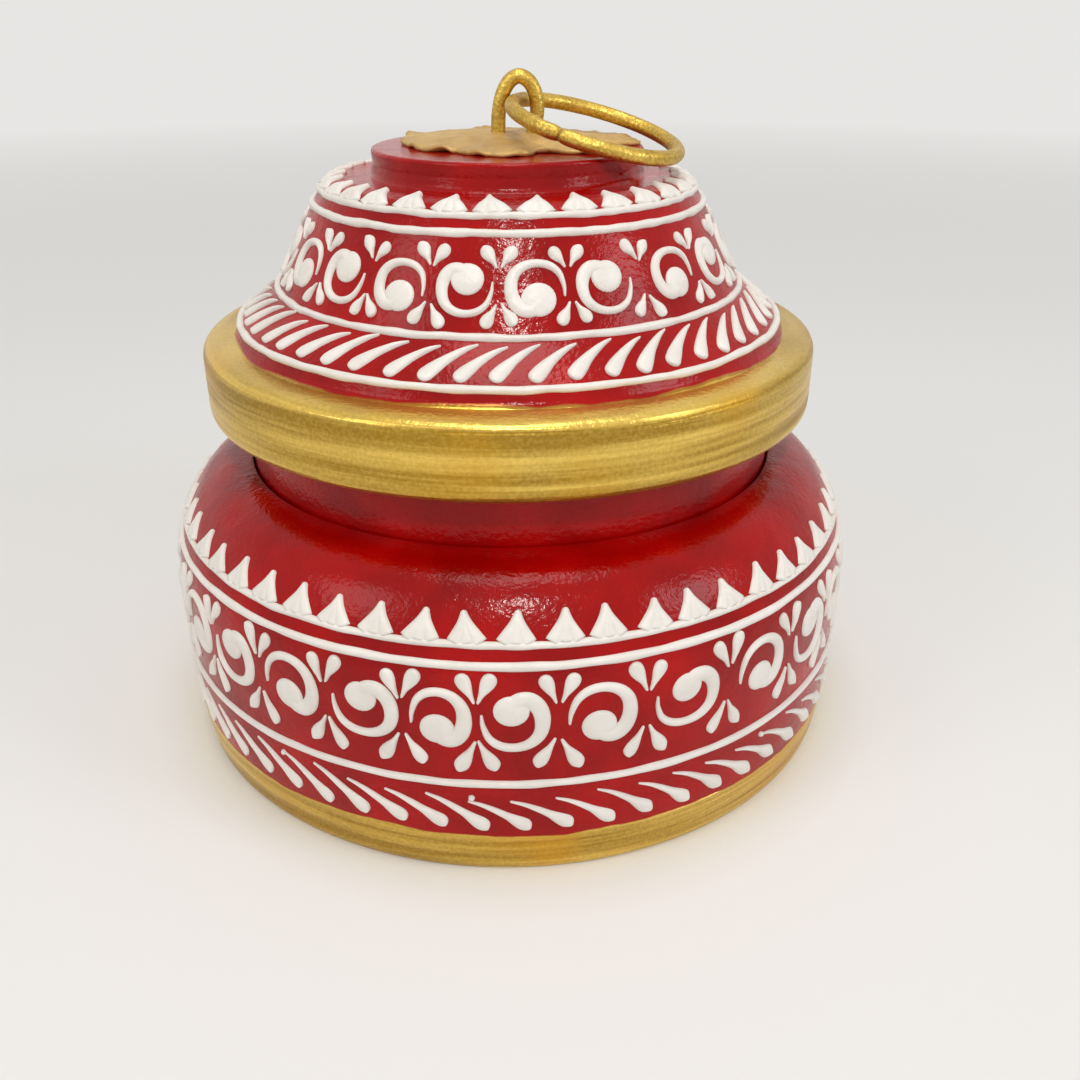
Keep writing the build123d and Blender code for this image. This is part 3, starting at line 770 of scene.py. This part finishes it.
def paintTeeth(name, body, surface, s, band, rng, jitter):
    verts, faces = [], []
    for angle in evenAngles(band["toothCount"], band["toothStart"], rng, jitter):
        addTooth(verts, faces, surface.placer(angle, s), band["toothWidth"], band["toothHeight"], rng)
    paintPiece(name, body, verts, faces)


def paintScrolls(name, body, surface, s, band, rng, mirrorX):
    verts, faces = [], []
    for index, (angle, width) in enumerate(band["scrolls"]):
        place = surface.placer(angle, s)
        addScroll(verts, faces, place, rng, width, band["scrollScale"], band["blob"], mirrorX, index % 2 == 1)
    paintPiece(name, body, verts, faces)


def paintDrops(name, body, surface, s, band, rng):
    verts, faces = [], []
    for angle in anglesBetween(band["scrolls"]):
        place = surface.placer(angle, s)
        for end, up in (("Upper", True), ("Lower", False)):
            tail, length, splay = band["dropTail" + end], band["drop" + end], band["splay" + end]
            addDrops(verts, faces, place, rng, tail, length, band["dropScale"], splay, up)
    paintPiece(name, body, verts, faces)


def addSlants(verts, faces, surface, s, stroke, band, rng, jitter):
    for angle in evenAngles(band["slantCount"], band["slantStart"], rng, jitter):
        addSmoothStroke(verts, faces, surface.placer(angle, s), varied(stroke, rng))


# Pot paint. Heights are along the axis. A scroll is (angle, width).
potPaint = {
    "borderLine": 29.1, "upperLine": 27.1, "lowerLine": 12.7, "borderHalf": 0.42, "lineHalf": 0.48, "lineSteps": 420,
    "toothCount": 54, "toothStart": 1.8, "toothWidth": 4.4, "toothHeight": 3.3,
    "scrollHeight": 20.9, "scrollScale": 1.0, "blob": 1.1, "dropScale": 1.0,
    "dropTailUpper": 2.2, "dropUpper": 3.15, "splayUpper": 0.26,
    "dropTailLower": -2.6, "dropLower": 3.5, "splayLower": 0.34,
    "slantCount": 60, "slantStart": 2.87, "slantHeight": 7.25,
    "dotRadius": 0.36, "strayDots": [(-35.0, 3.6), (-4.6, 3.5), (42.0, 3.6)],
    "scrolls": [
        (-57, 1.0), (-44.5, 0.98), (-31.8, 0.96), (-19.5, 1.03), (-8.7, 0.84), (1.5, 0.93), (13.6, 0.95),
        (26.6, 1.1), (40.7, 0.98), (53.8, 0.98),
    ],
    "scrollStep": 11.87, "stepCount": 20, "stepWidth": 0.97,  # past the ones in sight, the scrolls are even
}


def fillScrolls(band):
    last = band["scrolls"][-1][0]
    steps = range(1, band["stepCount"] + 1)
    band["scrolls"] += [(last + band["scrollStep"] * step, band["stepWidth"]) for step in steps]


fillScrolls(potPaint)
potHeights = ("borderLine", "upperLine", "lowerLine", "scrollHeight", "slantHeight")
borderS, upperS, lowerS, scrollS, slantS = (potSurface.lengthAtHeight(potPaint[key]) for key in potHeights)
for name, s, half, seed in (
    ("pot_border_line", borderS, potPaint["borderHalf"], 3.0),
    ("pot_upper_line", upperS, potPaint["lineHalf"], 7.0),
    ("pot_lower_line", lowerS, potPaint["lineHalf"], 11.0),
):
    lineAround(name, "pot_body", potSurface, s, half, seed, potPaint["lineSteps"])
paintTeeth("pot_border_teeth", "pot_body", potSurface, borderS, potPaint, random.Random(5), 0.25)
paintScrolls("pot_scrolls", "pot_body", potSurface, scrollS, potPaint, random.Random(6), False)
paintDrops("pot_scroll_drops", "pot_body", potSurface, scrollS, potPaint, random.Random(7))

verts, faces = [], []
addSlants(verts, faces, potSurface, slantS, slantStroke, potPaint, random.Random(8), 0.2)
for angle, rise in potPaint["strayDots"]:
    addBlob(verts, faces, potSurface.placer(angle, slantS), 0, rise, potPaint["dotRadius"], paint["lift"])
paintPiece("pot_slanted_drops", "pot_body", verts, faces)
print("pot painted")

# Lid paint. Lengths run down the dome from the foot of the disc.
lidPaint = {
    "borderLine": 6.3, "upperLine": 8.2, "waistLine": 18.9, "skirtLine": 25.1, "borderHalf": 0.4, "lineHalf": 0.45,
    "lineSteps": 360, "toothCount": 30, "toothStart": -3.0, "toothWidth": 4.5, "toothHeight": 3.1,
    "scrollMiddle": 14.0, "scrollScale": 0.8, "blob": 1.3, "dropScale": 0.85,
    "dropTailUpper": 2.3, "dropUpper": 2.1, "splayUpper": 0.32,
    "dropTailLower": -1.6, "dropLower": 2.3, "splayLower": 0.32,
    "slantCount": 52, "slantStart": -0.52, "slantMiddle": 23.45,
    "scrolls": [
        (-58.4, 1.0), (-41.2, 1.0), (-24.4, 1.0), (-8.8, 1.0), (7.3, 1.0), (23.9, 1.05), (44.4, 1.05), (62.5, 1.0),
    ],
    "scrollStep": 18.4, "stepCount": 12, "stepWidth": 1.0,
}
fillScrolls(lidPaint)
borderS, scrollS, slantS = (lidLength - lidPaint[key] for key in ("borderLine", "scrollMiddle", "slantMiddle"))
for name, key, half, seed in (
    ("lid_border_line", "borderLine", lidPaint["borderHalf"], 15.0),
    ("lid_upper_line", "upperLine", lidPaint["lineHalf"], 19.0),
    ("lid_waist_line", "waistLine", lidPaint["lineHalf"], 23.0),
    ("lid_skirt_line", "skirtLine", lidPaint["lineHalf"], 27.0),
):
    lineAround(name, "lid_body", lidSurface, lidLength - lidPaint[key], half, seed, lidPaint["lineSteps"])
paintTeeth("lid_border_teeth", "lid_body", lidSurface, borderS, lidPaint, random.Random(15), 0.4)
paintScrolls("lid_scrolls", "lid_body", lidSurface, scrollS, lidPaint, random.Random(16), True)
paintDrops("lid_scroll_drops", "lid_body", lidSurface, scrollS, lidPaint, random.Random(17))

verts, faces = [], []
addSlants(verts, faces, lidSurface, slantS, commaStroke, lidPaint, random.Random(18), 0.3)
paintPiece("lid_slanted_drops", "lid_body", verts, faces)
print("lid painted")

# Wire: the eye in the disc and the ring that hangs in it. The eye's points are (x, height).
wire = {
    "radius": 0.85, "around": 20, "unevenness": 0.03, "endSizes": (0.8, 0.93, 0.985), "eyeSteps": 6,
    "eye": [
        (-1.05, 64.6), (-1.05, 70.0), (-1.08, 72.6), (-1.1, 74.2), (-1.0, 75.9), (-0.62, 77.7), (0.22, 79.2),
        (1.35, 79.83), (2.5, 79.3), (3.25, 78.05), (3.5, 76.5), (3.3, 74.9), (2.9, 73.4), (2.78, 72.0),
        (2.775, 70.0), (2.775, 64.6),
    ],
    "ringPivot": (1.2192, 0.0, 77.2), "ringRadius": 9.9, "sideTilt": 14.5, "frontTilt": 6.0, "ringTurn": 18.0,
    "ringSteps": 150, "jointAngle": -97.0, "jointGap": 0.14, "jointOffset": 0.28, "jointShare": 0.035, "bentOut": 0.06,
}


def tubeMesh(name, path, radius, seed):
    verts = []
    faces = []
    points = [Vector(point) for point in path]
    side = None
    rows = []
    count = wire["around"]
    for index, point in enumerate(points):
        along = (points[min(index + 1, len(points) - 1)] - points[max(index - 1, 0)]).normalized()
        side = along.orthogonal() if side is None else side - along * side.dot(along)
        side.normalize()
        other = along.cross(side)
        size = radius * (1 + wire["unevenness"] * noise.noise(point * 0.5 + Vector((seed, 0, 0))))
        fromEnd = min(index, len(points) - 1 - index)
        if fromEnd < len(wire["endSizes"]):
            size *= wire["endSizes"][fromEnd]
        row = []
        for step in range(count):
            turn = 2 * math.pi * step / count
            row.append(len(verts))
            verts.append(tuple(point + (side * math.cos(turn) + other * math.sin(turn)) * size))
        rows.append(row)
    for low, high in zip(rows, rows[1:]):
        for step in range(count):
            after = (step + 1) % count
            faces.append((low[step], low[after], high[after], high[step]))
    faces.append(tuple(reversed(rows[0])))
    faces.append(tuple(rows[-1]))
    piece = newMesh(name, verts, faces)
    fixNormals(piece)
    return piece


eyePath = smoothPath([(x, 0.0, z) for x, z in wire["eye"]], wire["eyeSteps"])
eye = tubeMesh("wire_eye_bent", eyePath, wire["radius"], 1.0)
finishPiece(eye, "lid_body", "wire_eye", brassWire)

# The ring leans to the right and the front, and its centre lies a radius from the pivot
leanX, leanY = math.sin(math.radians(wire["sideTilt"])), -math.sin(math.radians(wire["frontTilt"]))
ringNormal = Vector((leanX, leanY, math.sqrt(1 - leanX**2 - leanY**2)))
ringAcross = Vector((0, 1, 0)).cross(ringNormal).normalized()
ringAlong = ringNormal.cross(ringAcross)
ringTurn = math.radians(wire["ringTurn"])
ringOut = ringAcross * math.cos(ringTurn) - ringAlong * math.sin(ringTurn)
ringSide = ringNormal.cross(ringOut)
ringCentre = Vector(wire["ringPivot"]) + ringOut * wire["ringRadius"]
gapDeg = math.degrees(wire["jointGap"] / wire["ringRadius"])
ringPath = []
for step in range(wire["ringSteps"] + 1):
    share = step / wire["ringSteps"]
    turn = math.radians(wire["jointAngle"] + gapDeg / 2 + (360 - gapDeg) * share)
    nearEnd = max(0.0, 1 - (1 - share) / wire["jointShare"])
    offset = wire["jointOffset"] * nearEnd**2 + wire["bentOut"] * math.sin(3 * turn)
    reach = wire["ringRadius"] - offset
    ringPath.append(ringCentre + (ringOut * math.cos(turn) + ringSide * math.sin(turn)) * reach)
ring = tubeMesh("pull_ring_bent", ringPath, wire["radius"], 9.0)
finishPiece(ring, "ring_body", "pull_ring", brassWire)
print("wire bent")

# Putty: an uneven patch over the disc, torn at its edge. Points are (degrees from the right, radius).
putty = {
    "base": 72.3, "crown": 1.45, "rim": 0.42, "lump": 0.2, "ragged": 0.3, "liftMost": 0.34, "liftFrom": 0.86,
    "centreX": 0.8, "edgeMost": 15.75, "underGap": 0.04, "underReach": 1.3, "sink": 0.05, "segments": 240, "rings": 22,
    "edge": [
        (0, 15.9), (12, 15.2), (40, 14.2), (75, 13.4), (110, 13.2), (140, 13.4), (155, 13.5), (175, 12.7),
        (195, 11.9), (213, 11.5), (228, 10.3), (236, 9.9), (248, 10.7), (260, 11.1), (272, 11.6), (284, 10.8),
        (293, 8.9), (300, 9.2), (311, 11.8), (320, 14.0), (332, 14.4), (342, 13.2), (348, 11.9), (353, 13.6),
        (357, 15.3),
    ],
    "flakeRise": 1.15, "flakeThick": 0.5, "flake": [(-3.3, 6.9, 0.18), (-2.8, 6.2, 0.34), (-2.1, 5.6, 0.26)],
}


def noiseRound(angleDeg, reach, seed):
    turn = math.radians(angleDeg)
    return noise.noise(Vector((math.cos(turn) * reach, math.sin(turn) * reach, seed)))


def puttyEdge(angleDeg):
    points = putty["edge"]
    for index, (start, radius) in enumerate(points):
        end, nextRadius = points[(index + 1) % len(points)]
        span = (end - start) % 360
        ahead = (angleDeg - start) % 360
        if ahead < span:
            share = ahead / span
            share = share * share * (3 - 2 * share)
            tear = noiseRound(angleDeg, 4, 2.0) + 0.6 * noiseRound(angleDeg, 17, 5.0)
            return min(putty["edgeMost"], radius + (nextRadius - radius) * share + putty["ragged"] * tear)
    return points[0][1]


def puttyMesh():
    verts = [(putty["centreX"], 0, putty["base"] + putty["crown"])]
    faces = []
    previous = None
    for ringIndex in range(1, putty["rings"] + 3):
        ring = []
        for step in range(putty["segments"]):
            angle = 360 * step / putty["segments"]
            turn = math.radians(angle)
            edge = puttyEdge(angle)
            share = min(1.0, ringIndex / putty["rings"])
            reach = edge * share
            lifted = putty["liftMost"] * max(0.0, noiseRound(angle, 5, 8.0) * 2.2)
            x, y = reach * math.cos(turn), reach * math.sin(turn)
            lump = noise.noise(Vector((x * 0.45, y * 0.45, 1.0))) + 0.5 * noise.noise(Vector((x, y, 3.0)))
            z = putty["base"] + putty["rim"] + (putty["crown"] - putty["rim"]) * (1 - share**2.2)
            z += putty["lump"] * lump
            z += lifted * max(0.0, (share - putty["liftFrom"]) / (1 - putty["liftFrom"])) ** 2
            if ringIndex == putty["rings"] + 1:  # under the edge, where a lifted flake leaves a gap
                z = putty["base"] + putty["underGap"] + lifted
            if ringIndex == putty["rings"] + 2:
                reach = max(edge - putty["underReach"], 0)
                x, y, z = reach * math.cos(turn), reach * math.sin(turn), putty["base"] - putty["sink"]
            ring.append(len(verts))
            verts.append((x, y, z))
        for step in range(putty["segments"]):
            after = (step + 1) % putty["segments"]
            if previous is None:
                faces.append((0, ring[step], ring[after]))
            else:
                faces.append((previous[step], ring[step], ring[after], previous[after]))
        previous = ring
    faces.append(tuple(reversed(previous)))

    def flakePlace(x, y, lift):
        return (x, y, putty["base"] + putty["flakeRise"] + lift)

    addSmoothStroke(verts, faces, flakePlace, putty["flake"], height=putty["flakeThick"])
    piece = newMesh("gold_putty_patch", verts, faces)
    fixNormals(piece)
    return piece


finishPiece(puttyMesh(), "lid_body", "gold_putty", tanPutty)
print("putty laid")

# Floor, lamps and camera
studio = {
    "floorTone": (0.84, 0.835, 0.82), "floorRoughness": 0.75, "floorRadius": 6000, "floorSides": 72, "floorDrop": 0.02,
    "airTone": (1.0, 0.99, 0.97), "worldLevel": 0.42, "seenLevel": 0.8, "fadeStart": 0.05, "fadeEnd": 0.8,
    # Name, place, target, size, power, tint
    "lamps": [
        ("overheadSoftbox", (0.0, -0.02, 0.62), (0.0, 0.0, 0.03), 0.30, 1.0, (1.0, 0.98, 0.95)),
        ("frontLamp", (0.03, -0.44, 0.50), (0.0, 0.0, 0.04), 0.05, 1.1, (1.0, 0.97, 0.93)),
        ("leftSoftbox", (-0.42, -0.30, 0.36), (0.0, 0.0, 0.04), 0.26, 0.45, (1.0, 0.98, 0.95)),
        ("rightSoftbox", (0.48, -0.22, 0.30), (0.0, 0.0, 0.04), 0.22, 0.6, (0.9, 0.94, 1.0)),
    ],
    "cameraPlace": (0.00382, -0.13607, 0.08808), "cameraPitch": 63.35, "cameraLens": 36.13,
}


def makeFloor():
    sides = studio["floorSides"]
    rim = arcPoints((0, 0), studio["floorRadius"], 0, 360 - 360 / sides, sides - 1)
    floor = newMesh("studio_floor", [(x, y, -studio["floorDrop"]) for x, y in rim], [tuple(range(sides))])
    material, tree, shader = newMaterial("paleFloor")
    shader.inputs["Base Color"].default_value = (*studio["floorTone"], 1)
    shader.inputs["Roughness"].default_value = studio["floorRoughness"]
    glow = tree.nodes.new("ShaderNodeEmission")  # far from the box, the floor passes into the backdrop
    glow.inputs["Color"].default_value = (*studio["airTone"], 1)
    glow.inputs["Strength"].default_value = studio["seenLevel"]
    place = tree.nodes.new("ShaderNodeTexCoord").outputs["Object"]
    reach = tree.nodes.new("ShaderNodeVectorMath")
    reach.operation = "LENGTH"
    tree.links.new(place, reach.inputs[0])
    far = rangeNode(tree, reach.outputs["Value"], studio["fadeStart"], studio["fadeEnd"])
    seen = tree.nodes.new("ShaderNodeLightPath").outputs["Is Camera Ray"]
    blend = tree.nodes.new("ShaderNodeMixShader")
    tree.links.new(mathNode(tree, "MULTIPLY", far, seen), blend.inputs["Fac"])
    tree.links.new(shader.outputs[0], blend.inputs[1])
    tree.links.new(glow.outputs[0], blend.inputs[2])
    tree.links.new(blend.outputs[0], tree.nodes["Material Output"].inputs["Surface"])
    floor.data.materials.append(material)


def makeWorld():
    world = bpy.data.worlds.new("studioAir")
    bpy.context.scene.world = world
    world.use_nodes = True
    tree = world.node_tree
    background = tree.nodes["Background"]
    paths = tree.nodes.new("ShaderNodeLightPath")
    seen = mathNode(tree, "MAXIMUM", paths.outputs["Is Camera Ray"], paths.outputs["Is Glossy Ray"])
    seen = mathNode(tree, "MAXIMUM", seen, paths.outputs["Is Transmission Ray"])
    level = rangeNode(tree, seen, 0.0, 1.0, studio["worldLevel"], studio["seenLevel"])
    tree.links.new(level, background.inputs["Strength"])
    background.inputs["Color"].default_value = (*studio["airTone"], 1)


def makeLamps():
    for name, place, target, size, power, tint in studio["lamps"]:
        data = bpy.data.lights.new(name, "AREA")
        data.shape = "DISK"
        data.size = size
        data.energy = power
        data.color = tint
        lamp = bpy.data.objects.new(name, data)
        lamp.location = place
        lamp.rotation_euler = (Vector(target) - Vector(place)).to_track_quat("-Z", "Y").to_euler()
        bpy.context.collection.objects.link(lamp)


def makeCamera():
    data = bpy.data.cameras.new("photoCamera")
    data.lens = studio["cameraLens"]
    data.sensor_width = 36.0
    data.clip_start = 0.005
    camera = bpy.data.objects.new("photoCamera", data)
    camera.location = studio["cameraPlace"]
    camera.rotation_euler = (math.radians(studio["cameraPitch"]), 0, 0)
    bpy.context.collection.objects.link(camera)
    bpy.context.scene.camera = camera


makeFloor()
makeWorld()
makeLamps()
makeCamera()
bpy.context.scene.view_settings.view_transform = "Standard"
print("studio set")
